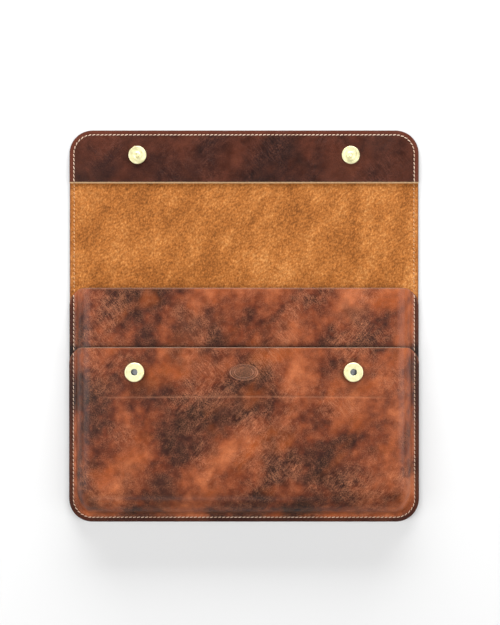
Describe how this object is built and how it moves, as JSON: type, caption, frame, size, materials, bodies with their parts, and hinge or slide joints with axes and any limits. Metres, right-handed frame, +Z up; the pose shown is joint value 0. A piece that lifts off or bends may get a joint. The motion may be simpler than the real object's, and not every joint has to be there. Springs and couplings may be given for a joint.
{
  "type": "laptop sleeve",
  "caption": "Flat leather laptop sleeve with a slim front pocket and a fold-over flap that closes on magnetic snaps, shown lying on its back with the flap open.",
  "frame": {"origin": "middle of the open sleeve's outline, on the surface that its back rests on", "axes": "+X across the sleeve to its right, +Y from the bottom seam towards the flap's tip, +Z up out of the front"},
  "size_m": [0.354, 0.396, 0.0286],
  "materials": {
    "hide": "suede inside, waxed pull-up grain outside",
    "front_leather": "waxed pull-up grain, mottled",
    "facing_leather": "waxed pull-up grain, dark",
    "patch_suede": "suede",
    "thread": "waxed thread",
    "snap_brass": "brushed, pale gold",
    "snap_steel": "satin",
    "magnet": "nickel plated"
  },
  "bodies": {
    "sleeve": {"back_panel": "hide", "front_panel": "front_leather", "pocket_panel": "front_leather", "body_stitches_front": "thread", "body_stitches_back": "thread", "snap_cap_left": "snap_brass", "snap_magnet_left": "magnet", "snap_base_left": "snap_steel", "snap_washer_left": "snap_steel", "snap_cover_patch_left": "patch_suede", "snap_cap_right": "snap_brass", "snap_magnet_right": "magnet", "snap_base_right": "snap_steel", "snap_washer_right": "snap_steel", "snap_cover_patch_right": "patch_suede"},
    "fold_a": {"fold_strip_a": "hide", "fold_stitches_a": "thread"},
    "fold_b": {"fold_strip_b": "hide", "fold_stitches_b": "thread"},
    "flap": {"flap_panel": "hide", "flap_facing": "facing_leather", "flap_stitches_inner": "thread", "flap_stitches_outer": "thread", "stud_plate_left": "snap_brass", "stud_base_left": "snap_steel", "stud_washer_left": "snap_steel", "stud_plate_right": "snap_brass", "stud_base_right": "snap_steel", "stud_washer_right": "snap_steel"}
  },
  "joints": [
    {"name": "flap_fold_1", "type": "hinge", "parent": "sleeve", "child": "fold_a", "pos_m": [0, 0.0466, 0.002], "axis": [1, 0, 0], "range_deg": [0, 60]},
    {"name": "flap_fold_2", "type": "hinge", "parent": "fold_a", "child": "fold_b", "pos_m": [0, 0.06375, 0.002], "axis": [1, 0, 0], "range_deg": [0, 60]},
    {"name": "flap_fold_3", "type": "hinge", "parent": "fold_b", "child": "flap", "pos_m": [0, 0.0809, 0.002], "axis": [1, 0, 0], "range_deg": [0, 60]}
  ],
  "couplings": [
    {"joint": "flap_fold_2", "follows": "flap_fold_1", "ratio": 1},
    {"joint": "flap_fold_3", "follows": "flap_fold_1", "ratio": 1}
  ]
}
